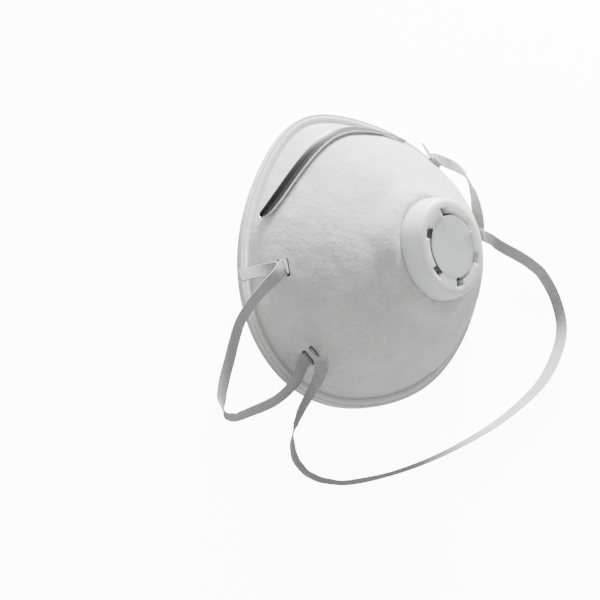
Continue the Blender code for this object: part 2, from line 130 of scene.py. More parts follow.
NECK_LOOP = [
    (-60.0, -21.6, 16.7, -60), (-60.6, -24.4, 16.1, -30), (-62.3, -27.5, 14.0, -14),
    (-64.7, -30.3, 11.4, -6), (-67.8, -33.0, 8.9, -2), (-71.0, -35.8, 6.5, 4),
    (-74.1, -38.9, 4.6, 16), (-77.0, -42.0, 3.4, 36),
    (-79.6, -45.8, 3.0, 56), (-80.9, -50.2, 2.7, 62), (-80.2, -55.4, 2.7, 54), (-77.4, -60.8, 2.7, 40),
    (-71.6, -66.6, 2.8, 26), (-62.0, -73.0, 2.9, 14), (-38.0, -83.2, 2.9, 5), (-8.0, -92.0, 2.9, 4),
    (28.0, -98.6, 2.9, 10), (62.0, -100.0, 2.9, 20), (84.0, -95.0, 2.9, 28), (98.2, -86.2, 2.9, 34),
    (103.8, -72.2, 2.9, 38), (101.6, -57.4, 3.6, 42), (94.4, -48.2, 5.2, 48), (86.6, -40.8, 6.6, 54),
    (78.8, -34.6, 8.2, 62), (71.6, -28.9, 10.0, 72), (66.8, -24.4, 11.4, 82),
]
LOOP_RIGHT = [
    (65.0, -20.4, 7.7, 78), (68.4, -17.6, 6.5, 54), (70.8, -13.4, 6.6, 28), (72.2, -8.4, 7.3, 6),
    (73.2, -3.0, 8.2, -18), (72.9, 3.3, 9.2, -44), (70.7, 8.4, 10.7, -66), (65.2, 13.2, 12.3, -80),
    (59.6, 16.6, 13.6, -88),
]
TAIL_RIGHT = [(53.8, 25.2, 10.6, -62), (54.4, 30.0, 9.2, -56)]

# ---- relief of the felt --------------------------------------------------------------------------
WELD_OUTER = 1.05          # how far in from the rim's edge the two weld lines lie
WELD_INNER = 2.85
COLLAR_FOOT = 21.5         # the collar is at its full height from here to the valve's skirt
COLLAR_BLEND = 1.2
# each fold: direction round the cup, row on the dome, lean and length
FOLDS = (
    (2.9, 1.45, 0.10, 0.30), (3.5, 1.62, -0.12, 0.34), (0.3, 1.5, 0.14, 0.3),
    (4.4, 1.5, -0.1, 0.36), (5.6, 1.42, 0.1, 0.3), (1.9, 1.55, 0.08, 0.25),
)
LINING_CREASES = (
    (1.25, 1.35, 0.35, 0.28), (1.95, 1.42, -0.4, 0.3), (0.35, 1.5, 0.3, 0.3),
    (2.8, 1.45, -0.3, 0.3), (4.1, 1.4, 0.25, 0.35), (5.4, 1.5, -0.2, 0.3),
)
FOLD_DEPTH = 0.13
LINING_CREASE_HEIGHT = 0.35

# ---- the fineness of the surface ---------------------------------------------------------------
CUP_SEGMENTS = 360
FLANGE_ROWS = 16
DOME_ROWS = 84
VALVE_SEGMENTS = 144
STRAP_STEP = 0.8           # length of the strap between two rows of its mesh
STRAP_RIBS = 7             # raised cords along the strap
BEVEL_SEGMENTS = 2
BEVEL_ANGLE = 40.0         # edges sharper than this are rounded, in degrees
COVER_EDGE = 0.16
SEAT_EDGE = 0.12
MOULDED_SMOOTH = 50.0      # smooth shading up to this angle between faces, in degrees
SOFT_SMOOTH = 60.0

# ---- the view ----------------------------------------------------------------------------------
CAMERA_PLACE = (-0.25114, 0.041834, 0.262289)
CAMERA_RIGHT = (0.66176656, -0.44905333, 0.60034668)
CAMERA_UP = (0.42547588, 0.88427555, 0.1924241)
FOCAL_LENGTH = 51.16
SENSOR_WIDTH = 36.0
SKY_STRENGTH = 0.56
BACKDROP_STRENGTH = 11.0   # the paper and the sky look white, as behind a cut-out, but light little
BACKDROP_FROM = 0.058      # metres from the middle; nearer in, the paper stays dim under the slits
LIGHT_TARGET = (0.0, 0.0, 0.02)
FLOOR_HALF = 2.5


# ---- the shape of the cup ----------------------------------------------------------------------
def rim_outline(theta):
    """The rim in plan: wide at the cheeks, pointed towards the nose."""
    x = np.cos(theta) + 0.074 * np.cos(3 * theta) - 0.049 * np.sin(2 * theta) + 0.006 * np.cos(5 * theta)
    y = np.sin(theta) + 0.045 * np.sin(3 * theta) - 0.042 * np.cos(theta) ** 2 + 0.010 * np.sin(5 * theta)
    return HALF_WIDTH * x, HALF_LENGTH * y


def inset_outline(theta, inset):
    """The rim moved inwards by a distance."""
    step = 1e-4
    x, y = rim_outline(theta)
    x1, y1 = rim_outline(theta + step)
    x0, y0 = rim_outline(theta - step)
    length = np.hypot(x1 - x0, y1 - y0)
    return x - inset * (y1 - y0) / length, y + inset * (x1 - x0) / length


def crease_y(x):
    return CREASE_NOSE - CREASE_SLOPE * (np.sqrt(x * x + CREASE_ROUND ** 2) - CREASE_ROUND)


def smooth(t):
    t = np.clip(t, 0.0, 1.0)
    return t * t * (3.0 - 2.0 * t)


def dome_height(inward):
    draw = np.clip(1.0 - inward, 0.0, 1.0) ** (1.0 / DOME_POWER_IN)
    return CROWN_HEIGHT * (1.0 - draw * draw) ** (DOME_POWER_UP / 2.0) * smooth(inward / FOOT)


def outer_face(theta, row):
    """Points of the mask's outer face; row is 0 to 1 on the flange and 1 to 2 on the dome."""
    theta, row = np.broadcast_arrays(np.asarray(theta, float), np.asarray(row, float))
    foot_x, foot_y = inset_outline(theta, FLANGE_WIDTH)
    away_x, away_y = foot_x, foot_y - VALVE_Y
    reach = 1.0 - HOLE_RADIUS / np.hypot(away_x, away_y)
    inward = np.clip(row - 1.0, 0.0, 1.0) * reach

    def plan(part):
        return away_x * (1.0 - part), VALVE_Y + away_y * (1.0 - part)

    x, y = plan(inward)
    height = dome_height(inward)

    low, high = np.zeros_like(theta), np.full_like(theta, 0.6)
    for _ in range(24):
        middle = (low + high) / 2.0
        mid_x, mid_y = plan(middle)
        outside = mid_y > crease_y(mid_x)
        low, high = np.where(outside, middle, low), np.where(outside, high, middle)
    crease = np.maximum(low, 1e-3)
    along = inward / crease
    chord = dome_height(crease) * along - FLARE_SAG * np.sin(math.pi * np.clip(along, 0.0, 1.0))
    chord = chord * smooth(along * 4.0)
    weight = smooth((FLARE_END - np.abs(x)) / (FLARE_END - FLARE_FULL)) * (y > 0) * (along < 1.0)
    height = height + weight * (np.minimum(chord, height) - height)

    dome = STACK + height
    seat = VALVE_SEAT_Z + math.tan(VALVE_TILT) * (y - VALVE_Y)
    z = -CROWN_BLEND * np.log(np.exp(-dome / CROWN_BLEND) + np.exp(-seat / CROWN_BLEND))

    flange_x, flange_y = inset_outline(theta, FLANGE_WIDTH * np.clip(row, 0.0, 1.0))
    on_flange = row <= 1.0
    return np.stack([np.where(on_flange, flange_x, x), np.where(on_flange, flange_y, y),
                     np.where(on_flange, STACK, z)], axis=-1)


def outward(theta, row, step=0.03):
    """Unit normals of the outer face."""
    theta, row = np.broadcast_arrays(np.asarray(theta, float), np.asarray(row, float))
    up = outer_face(theta, np.minimum(row + step, 2.0)) - outer_face(theta, np.maximum(row - step, 0.0))
    around = outer_face(theta + step, row) - outer_face(theta - step, row)
    normal = np.cross(around, up)
    normal = normal / np.linalg.norm(normal, axis=-1, keepdims=True)
    normal[row <= 1.0] = (0.0, 0.0, 1.0)
    return normal


def find_row(x, y):
    """The direction and row of the outer face's point over a place in plan."""
    theta, row = math.atan2(y, x), 1.3
    for _ in range(40):
        point = outer_face(theta, row)
        error = np.array([x - point[0], y - point[1]])
        by_theta = (outer_face(theta + 1e-4, row) - point)[:2] / 1e-4
        by_row = (outer_face(theta, row + 1e-4) - point)[:2] / 1e-4
        move = np.linalg.solve(np.stack([by_theta, by_row], axis=1), error)
        theta, row = theta + move[0], min(max(row + move[1], 1.002), 1.99)
        if abs(error).max() < 1e-4:
            break
    return theta, row


def wall_frame(x, y):
    """Origin, direction along the rim, direction up the wall and normal, at a place in plan."""
    theta, row = find_row(x, y)
    origin = outer_face(theta, row)
    normal = outward(theta, row)
    up = outer_face(theta, row + 0.01) - outer_face(theta, row - 0.01)
    up = up - normal * (up @ normal)
    up = up / np.linalg.norm(up)
    return origin, np.cross(up, normal), up, normal


def valve_point(x, y, height):
    """A place in the valve's own axes, tilted with the crown."""
    cos_t, sin_t = math.cos(VALVE_TILT), math.sin(VALVE_TILT)
    return (x, VALVE_Y + y * cos_t - height * sin_t, VALVE_SEAT_Z + y * sin_t + height * cos_t)


# ---- node materials ----------------------------------------------------------------------------
class Nodes:
    """A short way to write a material's nodes."""

    def __init__(self, name, colour, roughness, **settings):
        self.material = bpy.data.materials.new(name)
        self.material.use_nodes = True
        self.tree = self.material.node_tree
        self.shader = self.tree.nodes["Principled BSDF"]
        self.set("Base Color", (*colour, 1.0))
        self.set("Roughness", roughness)
        for socket, value in settings.items():
            self.set(socket.replace("_", " "), value)

    def set(self, socket, value):
        self.shader.inputs[socket].default_value = value

    def link(self, source, target):
        self.tree.links.new(source, target)

    def feed(self, target, value):
        """Links a node's output to a socket, or sets the socket's own value."""
        if isinstance(value, bpy.types.NodeSocket):
            self.link(value, target)
        else:
            target.default_value = value

    def add(self, kind, **inputs):
        node = self.tree.nodes.new(kind)
        for socket, value in inputs.items():
            self.feed(node.inputs[socket.replace("_", " ")], value)
        return node

    def place(self, scale=(1.0, 1.0, 1.0), rotation=(0.0, 0.0, 0.0), uv=False):
        """Object coordinates in metres, or the piece's own UV map, stretched and turned."""
        coordinates = self.tree.nodes.new("ShaderNodeTexCoord")
        mapping = self.add("ShaderNodeMapping", Vector=coordinates.outputs["UV" if uv else "Object"])
        mapping.inputs["Scale"].default_value = scale
        mapping.inputs["Rotation"].default_value = rotation
        return mapping.outputs["Vector"]

    def noise(self, place, scale, detail=3.0, rough=0.55, distortion=0.0):
        return self.add("ShaderNodeTexNoise", Vector=place, Scale=scale, Detail=detail, Roughness=rough,
                        Distortion=distortion).outputs["Fac"]

    def ramp(self, factor, *stops):
        """A colour ramp from (position, colour) stops."""
        node = self.add("ShaderNodeValToRGB", Fac=factor)
        elements = node.color_ramp.elements
        while len(elements) < len(stops):
            elements.new(0.5)
        for element, (position, colour) in zip(elements, stops):
            element.position = position
            element.color = (*colour, 1.0)
        return node.outputs["Color"]

    def math(self, operation, first, second=0.0):
        node = self.tree.nodes.new("ShaderNodeMath")
        node.operation = operation
        for target, value in zip(node.inputs, (first, second)):
            self.feed(target, value)
        return node.outputs[0]

    def mix(self, factor, base, colour):
        """Goes from a base colour's socket to a fixed colour as the factor's socket rises."""
        node = self.tree.nodes.new("ShaderNodeMix")
        node.data_type = "RGBA"
        factor_socket, first, second = node.inputs[0], node.inputs[6], node.inputs[7]
        self.link(factor, factor_socket)
        self.link(base, first)
        second.default_value = (*colour, 1.0)
        return node.outputs[2]

    def attribute(self, name):
        node = self.tree.nodes.new("ShaderNodeAttribute")
        node.attribute_name = name
        return node.outputs["Fac"]

    def bump(self, height, strength, distance, below=None):
        node = self.add("ShaderNodeBump", Height=height, Strength=strength, Distance=distance)
        if below is not None:
            self.link(below, node.inputs["Normal"])
        return node.outputs["Normal"]


def felt(name, light, dark, fibre=1.0, mottle=1.0, welded=False):
    """Needled felt: fine fibres in every direction, small pits and soft cloudy patches."""
    made = Nodes(name, light, 0.92, Sheen_Weight=0.25, Sheen_Roughness=0.6)
    cloud = made.noise(made.place(), 90.0, 4.0, 0.6)
    flock = made.noise(made.place((1.0, 2.2, 1.4), (0.3, 0.2, 0.5)), 430.0 * fibre, 5.0, 0.7, 0.6)
    strand = made.noise(made.place((0.35, 3.2, 1.0), (0.1, 0.4, -0.5)), 900.0 * fibre, 3.0, 0.6, 1.2)
    pits = made.add("ShaderNodeTexVoronoi", Vector=made.place(), Scale=900.0 * fibre).outputs["Distance"]
    shade = made.math("ADD", made.math("MULTIPLY", cloud, 0.45 * mottle),
                      made.math("MULTIPLY", flock, 0.55))
    tone = made.ramp(shade, (0.34, dark), (0.60, light))
    if welded:
        tone = made.mix(made.attribute("pressed"), tone, (0.90, 0.90, 0.895))
        tone = made.mix(made.attribute("weld"), tone, (0.46, 0.46, 0.455))
    made.link(tone, made.shader.inputs["Base Color"])
    made.link(made.ramp(flock, (0.3, (0.98,) * 3), (0.7, (0.84,) * 3)), made.shader.inputs["Roughness"])
    height = made.math("ADD", made.math("MULTIPLY", flock, 0.6), made.math("MULTIPLY", strand, 0.4))
    height = made.math("ADD", height, made.math("MULTIPLY", pits, 0.3))
    fine = made.bump(height, 0.6, 0.00026)
    made.link(made.bump(cloud, 0.45, 0.0012, fine), made.shader.inputs["Normal"])
    return made.material


def brushed_aluminium():
    """Rolled strip: fine lengthwise scratches and tiny pits; the face is painted near black as a painted
    dark reflection, and a painted highlight runs along the edge.
    """
    made = Nodes("nose_clip_metal", (0.32, 0.33, 0.33), 0.3, Metallic=1.0)
    along = made.place((0.02, 1.0, 1.0), uv=True)
    scratch = made.noise(along, 420.0, 4.0, 0.65)
    wide = made.noise(made.place((0.15, 1.0, 1.0), uv=True), 60.0, 3.0)
    speck = made.noise(made.place(), 2600.0, 2.0)
    grain = made.math("ADD", made.math("MULTIPLY", scratch, 0.6), made.math("MULTIPLY", speck, 0.4))
    # painted dark reflection: the face colour is near black, far darker than aluminium, standing in for the
    # dark surroundings it reflects
    face = made.ramp(grain, (0.38, (0.008, 0.009, 0.009)), (0.62, (0.045, 0.047, 0.047)))
    # painted highlight: the edge attribute mixes a light colour in along the chin-side edge and the rounded
    # ends
    colour = made.mix(made.attribute("edge"), face, (0.80, 0.80, 0.79))
    made.link(colour, made.shader.inputs["Base Color"])
    made.link(made.ramp(wide, (0.3, (0.34,) * 3), (0.7, (0.48,) * 3)), made.shader.inputs["Roughness"])
    made.link(made.bump(grain, 0.5, 0.00006), made.shader.inputs["Normal"])
    return made.material


def open_cell_foam():
    """Black open-cell foam: round pits with lighter walls."""
    made = Nodes("nose_foam_cells", (0.02, 0.02, 0.02), 0.95, Sheen_Weight=0.2, Sheen_Roughness=0.5)
    cells = made.add("ShaderNodeTexVoronoi", Vector=made.place(), Scale=1250.0).outputs["Distance"]
    grime = made.noise(made.place(), 300.0, 3.0)
    tone = made.math("MULTIPLY", cells, made.math("ADD", grime, 0.5))
    made.link(made.ramp(tone, (0.05, (0.055, 0.055, 0.052)), (0.5, (0.004,) * 3)),
              made.shader.inputs["Base Color"])
    height = made.ramp(cells, (0.0, (1.0,) * 3), (0.55, (0.0,) * 3))
    made.link(made.bump(height, 1.0, 0.0006), made.shader.inputs["Normal"])
    return made.material


def hot_melt():
    """A film of hot-melt glue, a little rippled."""
    made = Nodes("adhesive_film", (0.83, 0.82, 0.76), 0.35, Subsurface_Weight=0.1)
    ripple = made.noise(made.place(), 520.0, 3.0)
    made.link(made.ramp(ripple, (0.3, (0.76, 0.75, 0.69)), (0.7, (0.88, 0.87, 0.82))),
              made.shader.inputs["Base Color"])
    made.link(made.bump(ripple, 0.5, 0.0002), made.shader.inputs["Normal"])
    return made.material


def moulded_plastic(name, colour, shade, roughness):
    """Injection-moulded plastic: fine spark-eroded grain and faint flow marks."""
    made = Nodes(name, colour, roughness, Subsurface_Weight=0.9, Subsurface_Scale=0.006,
                 Subsurface_Radius=(1.0, 0.95, 0.85))
    flow = made.noise(made.place((1.0, 1.0, 3.0)), 70.0, 3.0, 0.5, 0.4)
    grain = made.noise(made.place(), 2800.0, 2.0)
    made.link(made.ramp(flow, (0.25, shade), (0.75, colour)), made.shader.inputs["Base Color"])
    made.link(made.ramp(flow, (0.3, (roughness - 0.06,) * 3), (0.7, (roughness + 0.08,) * 3)),
              made.shader.inputs["Roughness"])
    made.link(made.bump(grain, 0.25, 0.00006), made.shader.inputs["Normal"])
    return made.material


def knitted_elastic():
    """Flat elastic: warp-knitted wales along it and short stitches across, in grey yarn."""
    made = Nodes("elastic_knit", (0.32, 0.32, 0.32), 0.85, Sheen_Weight=0.3, Sheen_Roughness=0.4)
    stitch = made.add("ShaderNodeTexWave", Vector=made.place(uv=True), Scale=330.0, Distortion=2.0,
                      Detail=2.0, Detail_Scale=1.5)
    yarn = made.noise(made.place((1.0, 2.0, 1.0), uv=True), 900.0, 4.0, 0.6)
    patch = made.noise(made.place((1.0, 0.2, 1.0), uv=True), 22.0, 2.0)
    rib = made.attribute("rib")
    tone = made.math("ADD", made.math("MULTIPLY", yarn, 0.5), made.math("MULTIPLY", patch, 0.3))
    tone = made.math("ADD", tone, made.math("MULTIPLY", rib, 0.25))
    made.link(made.ramp(tone, (0.28, (0.27, 0.27, 0.27)), (0.85, (0.56, 0.56, 0.555))),
              made.shader.inputs["Base Color"])
    height = made.math("ADD", made.math("MULTIPLY", stitch.outputs["Fac"], 0.6),
                       made.math("MULTIPLY", yarn, 0.6))
    made.link(made.bump(height, 0.6, 0.00015), made.shader.inputs["Normal"])
    return made.material


def rubber_sheet_painted_light():
    """Thin greenish rubber with a faint bloom, painted lighter than the rubber is, as painted light let in
    through the cover.
    """
    # painted light: these greenish colours are lighter than the rubber, standing in for light shining in
    # through the translucent cover's windows
    made = Nodes("diaphragm_sheet", (0.50, 0.58, 0.53), 0.45)
    bloom = made.noise(made.place(), 160.0, 3.0)
    made.link(made.ramp(bloom, (0.3, (0.46, 0.54, 0.49)), (0.7, (0.58, 0.65, 0.60))),
              made.shader.inputs["Base Color"])
    made.link(made.ramp(bloom, (0.3, (0.38,) * 3), (0.7, (0.55,) * 3)), made.shader.inputs["Roughness"])
    grain = made.noise(made.place(), 1500.0, 2.0)
    made.link(made.bump(grain, 0.3, 0.00005), made.shader.inputs["Normal"])
    return made.material


# ---- making pieces -----------------------------------------------------------------------------
def set_shading(mesh, smooth_angle):
    """Smooth shading, sharp where faces meet at more than an angle in degrees."""
    mesh.shade_smooth()
    mesh.set_sharp_from_angle(angle=math.radians(smooth_angle))


def add_piece(name, points, faces, finish, smooth_angle=35.0):
    """A piece from points in millimetres, with its faces turned to point out."""
    mesh = bpy.data.meshes.new(name)
    mesh.from_pydata((np.asarray(points, float) * MM).tolist(), [], faces)
    work = bmesh.new()
    work.from_mesh(mesh)
    bmesh.ops.recalc_face_normals(work, faces=work.faces)
    work.to_mesh(mesh)
    work.free()
    mesh.materials.append(finish)
    set_shading(mesh, smooth_angle)
    made = bpy.data.objects.new(name, mesh)
    bpy.context.scene.collection.objects.link(made)
    return made


def apply_modifiers(piece):
    """Replaces a piece's mesh by what its modifiers make of it."""
    bpy.context.view_layer.update()
    evaluated = piece.evaluated_get(bpy.context.evaluated_depsgraph_get())
    mesh = bpy.data.meshes.new_from_object(evaluated)
    piece.modifiers.clear()
    piece.data = mesh


def join_shape(piece, guides, operation):
    """Cuts guide shapes out of a piece, or joins them to it, and removes the guides."""
    for guide in guides:
        modifier = piece.modifiers.new("shape", "BOOLEAN")
        modifier.object = guide
        modifier.operation = operation
    apply_modifiers(piece)
    for guide in guides:
        bpy.data.objects.remove(guide)


def round_edges(piece, width):
    """Rounds a piece's sharp edges; the width is in millimetres."""
    modifier = piece.modifiers.new("round", "BEVEL")
    modifier.width = width * MM
    modifier.segments = BEVEL_SEGMENTS
    modifier.limit_method = "ANGLE"
    modifier.angle_limit = math.radians(BEVEL_ANGLE)
    apply_modifiers(piece)
    set_shading(piece.data, MOULDED_SMOOTH)


def ring_faces(first, second, count):
    return [(first + i, first + (i + 1) % count, second + (i + 1) % count, second + i) for i in range(count)]


def tube_faces(rings, count):
    """Faces of a closed-ended tube made of rings of points."""
    faces = [tuple(range(count))[::-1]]
    for ring in range(rings - 1):
        faces += ring_faces(ring * count, (ring + 1) * count, count)
    return faces + [tuple(range((rings - 1) * count, rings * count))]


def set_attribute(piece, name, values):
    layer = piece.data.attributes.new(name, "FLOAT", "POINT")
    layer.data.foreach_set("value", np.asarray(values, np.float32))


def set_uv(piece, places):
    """Gives each corner its vertex's place, in metres, as UV."""
    mesh = piece.data
    layer = mesh.uv_layers.new(name="lengthwise")
    corner = np.zeros(len(mesh.loops), np.int32)
    mesh.loops.foreach_get("vertex_index", corner)
    layer.data.foreach_set("uv", (np.asarray(places, float)[corner] * MM).astype(np.float32).ravel())


# ---- the four layers of the cup ------------------------------------------------------------------
def bell(distance, width):
    return np.exp(-(distance / width) ** 2)


def soft_noise(points, size, seed):
    """Smooth noise from -1 to 1 over points in millimetres, with features of about a size."""
    shift = Vector((seed * 17.3, seed * 5.1, seed * 9.7))
    return np.array([noise.noise(Vector(point) / size + shift) for point in points])


def weld_relief(theta, row, points):
    """Heights on the cover web: rim weld lines, fabric ripples and shallow folds, outwards positive."""
    edge = FLANGE_WIDTH * np.clip(row, 0.0, 1.0)
    on_flange = (row <= 1.0).astype(float)
    dome = 1.0 - on_flange
    rim = -0.36 * bell(edge, 0.28) - 0.20 * bell(edge - WELD_OUTER, 0.17) + 0.20 * bell(edge - 2.0, 0.55)
    rim = rim - 0.14 * bell(edge - WELD_INNER, 0.14) - 0.34 * bell(edge - FLANGE_WIDTH, 0.3)
    rise = smooth((row - 1.0) / 0.08)
    foot = -0.26 * dome * (1.0 - rise)
    ripple = 0.34 * soft_noise(points, 19.0, 1) + 0.16 * soft_noise(points, 7.0, 2)
    ripple = ripple + 0.05 * soft_noise(points, 1.6, 3)
    crown = smooth((2.0 - row) / 0.12)
    folds = np.zeros_like(row)
    for direction, height, lean, length in FOLDS:
        across = row - height - lean * np.sin(3.0 * (theta - direction))
        folds = folds - FOLD_DEPTH * bell(across, 0.03) * bell(theta - direction, length)
    off_axis = np.hypot(points[:, 0], points[:, 1] - VALVE_Y)
    collar = COLLAR_LIFT * smooth((COLLAR_RADIUS - off_axis) / (COLLAR_RADIUS - COLLAR_FOOT))
    collar = collar * smooth((off_axis - COVER_RADIUS + COLLAR_BLEND) / COLLAR_BLEND)
    return on_flange * rim + foot + dome * rise * crown * (ripple + folds) + collar


def lining_relief(theta, row, points):
    """Heights on the lining's inner face: gathers by the rim and soft creases, inwards positive."""
    inside = smooth((row - 1.0) / 0.15) * smooth((2.0 - row) / 0.15)
    crease = np.zeros_like(row)
    for direction, height, lean, length in LINING_CREASES:
        across = row - height - lean * (theta - direction)
        crease = crease + LINING_CREASE_HEIGHT * bell(across, 0.022) * bell(theta - direction, length)
    ripple = 0.25 * soft_noise(points, 14.0, 5) + 0.12 * soft_noise(points, 4.0, 6)
    return inside * (crease + ripple * 0.6)


def cup_layer(name, finish, segments=CUP_SEGMENTS, flange_rows=FLANGE_ROWS, dome_rows=DOME_ROWS):
    depth, thickness = LAYERS[name]
    flange = np.linspace(0.0, 1.0, flange_rows, endpoint=False)
    dome = 1.0 + np.linspace(0.0, 1.0, dome_rows + 1) ** 1.35
    rows = np.concatenate([flange, dome])
    theta = np.linspace(0.0, 2 * math.pi, segments, endpoint=False)
    row_grid, theta_grid = np.meshgrid(rows, theta, indexing="ij")
    face = outer_face(theta_grid, row_grid)
    normal = outward(theta_grid, row_grid)
    outer = (face - depth * normal).reshape(-1, 3)
    inner = (face - (depth + thickness) * normal)[::-1].reshape(-1, 3)
    flat_theta, flat_row, flat_normal = theta_grid.ravel(), row_grid.ravel(), normal.reshape(-1, 3)
    if name == "cover_web":
        outer = outer + flat_normal * weld_relief(flat_theta, flat_row, outer)[:, None]
    if name == "inner_lining":
        back = normal[::-1].reshape(-1, 3)
        relief = lining_relief(theta_grid[::-1].ravel(), row_grid[::-1].ravel(), inner)
        inner = inner - back * relief[:, None]
        inner[:, 2] = np.maximum(inner[:, 2], 0.0)
    count = len(rows)
    faces = []
    for ring in range(2 * count):
        faces += ring_faces(ring * segments, (ring + 1) % (2 * count) * segments, segments)
    piece = add_piece(name.replace("_", "-") + "-fine", np.concatenate([outer, inner]), faces, finish,
                      SOFT_SMOOTH)
    if name == "cover_web":
        edge = FLANGE_WIDTH * np.clip(flat_row, 0.0, 1.0)
        lines = 0.8 * bell(edge - WELD_OUTER, 0.2) + 0.5 * bell(edge - WELD_INNER, 0.2)
        lines = lines + 0.9 * bell(edge - FLANGE_WIDTH, 0.3)
        lines = lines * (1.0 - smooth((flat_row - 1.0) / 0.03))
        set_attribute(piece, "weld", np.concatenate([np.clip(lines, 0.0, 1.0), np.zeros(len(inner))]))
        pressed = 0.8 * (1.0 - smooth((flat_row - 1.0) / 0.04))
        set_attribute(piece, "pressed", np.concatenate([pressed, pressed[::-1]]))
    join_shape(piece, [slit_guide(finish)], "DIFFERENCE")
    set_shading(piece.data, SOFT_SMOOTH)
    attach(piece, "mask")
    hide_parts(name)


def slit_guide(finish):
    """Blocks with clipped corners, one for each slit."""
    outline = ((-1, -0.55), (-0.8, -1), (0.8, -1), (1, -0.55), (1, 0.55), (0.8, 1), (-0.8, 1), (-1, 0.55))
    count = len(outline)
    points, faces = [], []
    for x, y in (UPPER_LEFT, LOWER_LEFT, LOWER_RIGHT, UPPER_RIGHT):
        origin, along, up, normal = wall_frame(x, y)
        for side in (-0.5, 0.5):
            start = len(points)
            for height in (-6.0, 4.0):
                for a, b in outline:
                    points.append(origin + normal * height + along * (a * SLIT_LENGTH / 2)
                                  + up * (side * SLIT_PITCH + b * SLIT_WIDTH / 2))
            faces += [tuple(range(start, start + count)), tuple(range(start + count, start + 2 * count))]
            faces += ring_faces(start, start + count, count)
    return add_piece("slit-guide", points, faces, finish)


# ---- strips that follow the nose -----------------------------------------------------------------
def strip_stations(half_span, round_end, steps, shift=0.0):
    """Places along the crease: place, sideways, outwards, share of the full width, distance along."""
    spread = np.concatenate([
        half_span - round_end * (1 - np.cos(np.linspace(0.05, math.pi / 2, 9))),
        np.linspace(half_span - round_end, 0.0, steps // 2 + 1)[1:],
    ])
    xs = np.concatenate([-spread, spread[::-1][1:]])
    stations, travelled, last = [], 0.0, None
    for x in xs:
        origin, _, _, normal = wall_frame(x, float(crease_y(x)) - shift)
        ahead = np.array([1.0, float(crease_y(x + 0.5) - crease_y(x - 0.5)), 0.0])
        ahead = ahead - normal * (ahead @ normal)
        ahead = ahead / np.linalg.norm(ahead)
        across = np.cross(normal, ahead)
        into_end = max(0.0, (abs(x) - (half_span - round_end)) / round_end)
        share = math.sqrt(max(0.03, 1.0 - into_end ** 2))
        if last is not None:
            travelled += np.linalg.norm(origin - last)
        last = origin
        stations.append((origin, across, normal, share, travelled))
    return stations


def nose_strip(name, half_span, width, near, far, finish, profile, shift=0.0, steps=90, relief=0.0):
    """A strip whose section is a closed list of (side from -1 to 1, height from 0 to 1)."""
    stations = strip_stations(half_span, width / 2, steps, shift)
    points, places, edge_highlight = [], [], []
    for origin, across, normal, share, travelled in stations:
        for side, height in profile:
            sideways = across * (side * share * width / 2)
            points.append(origin + sideways + normal * (near + height * (far - near)))
            places.append((travelled, side * width / 2))
            # painted highlight: full along the chin-side edge and the rounded ends, a quarter as strong
            # along the nose-side edge; the clip's material reads it as the edge attribute
            edge = smooth((abs(side * share + (1 - share) * np.sign(side)) - 0.86) / 0.1)
            edge_highlight.append(edge if side < 0 or share < 0.9 else 0.25 * edge)
    points = np.array(points)
    if relief:
        lift = relief * (soft_noise(points, 1.1, 8) + 0.6 * soft_noise(points, 0.55, 9))
        middles = [origin + normal * (near + far) / 2 for origin, _, normal, _, _ in stations]
        away = points - np.repeat(np.array(middles), len(profile), axis=0)
        away = away / np.linalg.norm(away, axis=1)[:, None]
        points = points + away * (lift[:, None] - relief * 0.6)
    piece = add_piece(name, points, tube_faces(len(stations), len(profile)), finish, MOULDED_SMOOTH)
    set_uv(piece, places)
    set_attribute(piece, "edge", edge_highlight)
    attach(piece, "mask")
    return piece


def strip_section(sides, dish, corner):
    """A flat section with rounded corners whose upper face is dished by a share of its thickness."""
    top = np.linspace(-1.0, 1.0, sides)
    section = [(side * (1 - corner * 0.2), 1.0 - dish * (1 - side ** 2)) for side in top]
    section += [(1.0, 0.8), (1.0, 0.3), (0.98, 0.0)]
    section += [(side, 0.0) for side in np.linspace(0.9, -0.9, sides)]
    return section + [(-0.98, 0.0), (-1.0, 0.3), (-1.0, 0.8)]


def foam_section(count):
    """A soft rounded rectangle."""
    section = []
    for i in range(count):
        angle = 2 * math.pi * i / count
        side, height = math.cos(angle), math.sin(angle)
        side = math.copysign(abs(side) ** 0.35, side)
        height = math.copysign(abs(height) ** 0.45, height)
        section.append((side, 0.5 + 0.5 * height))
    return section


def nose_pieces():
    """The clip on the nose, the foam inside it and the glue under each."""
    base = 2 * GAP + CLIP_GLUE_THICK
    clip = nose_strip("nose-clip-strip", CLIP_HALF_SPAN, CLIP_WIDTH, base, base + CLIP_THICK,
                      brushed_aluminium(), strip_section(13, 0.55, 0.1), steps=130)
    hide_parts("nose_clip")
    glue = hot_melt()
    under = nose_strip("nose-clip-glue", CLIP_HALF_SPAN - 0.8, CLIP_WIDTH - 1.2, GAP, GAP + CLIP_GLUE_THICK,
                       glue, strip_section(5, 0.0, 0.3), steps=60)
    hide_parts("nose_clip_adhesive")
    foam_glue = nose_strip("nose-foam-glue", FOAM_HALF_SPAN - 1.5, FOAM_WIDTH - 3.0,
                           FOAM_TOP - FOAM_GLUE_THICK, FOAM_TOP, glue, strip_section(5, 0.0, 0.3),
                           shift=FOAM_SHIFT, steps=60)
    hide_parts("nose_foam_adhesive")
    foam_base = FOAM_TOP - FOAM_GLUE_THICK - GAP
    foam = nose_strip("nose-foam-strip", FOAM_HALF_SPAN, FOAM_WIDTH, foam_base - FOAM_THICK, foam_base,
                      open_cell_foam(), foam_section(44), shift=FOAM_SHIFT, steps=240, relief=0.16)
    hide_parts("nose_foam")


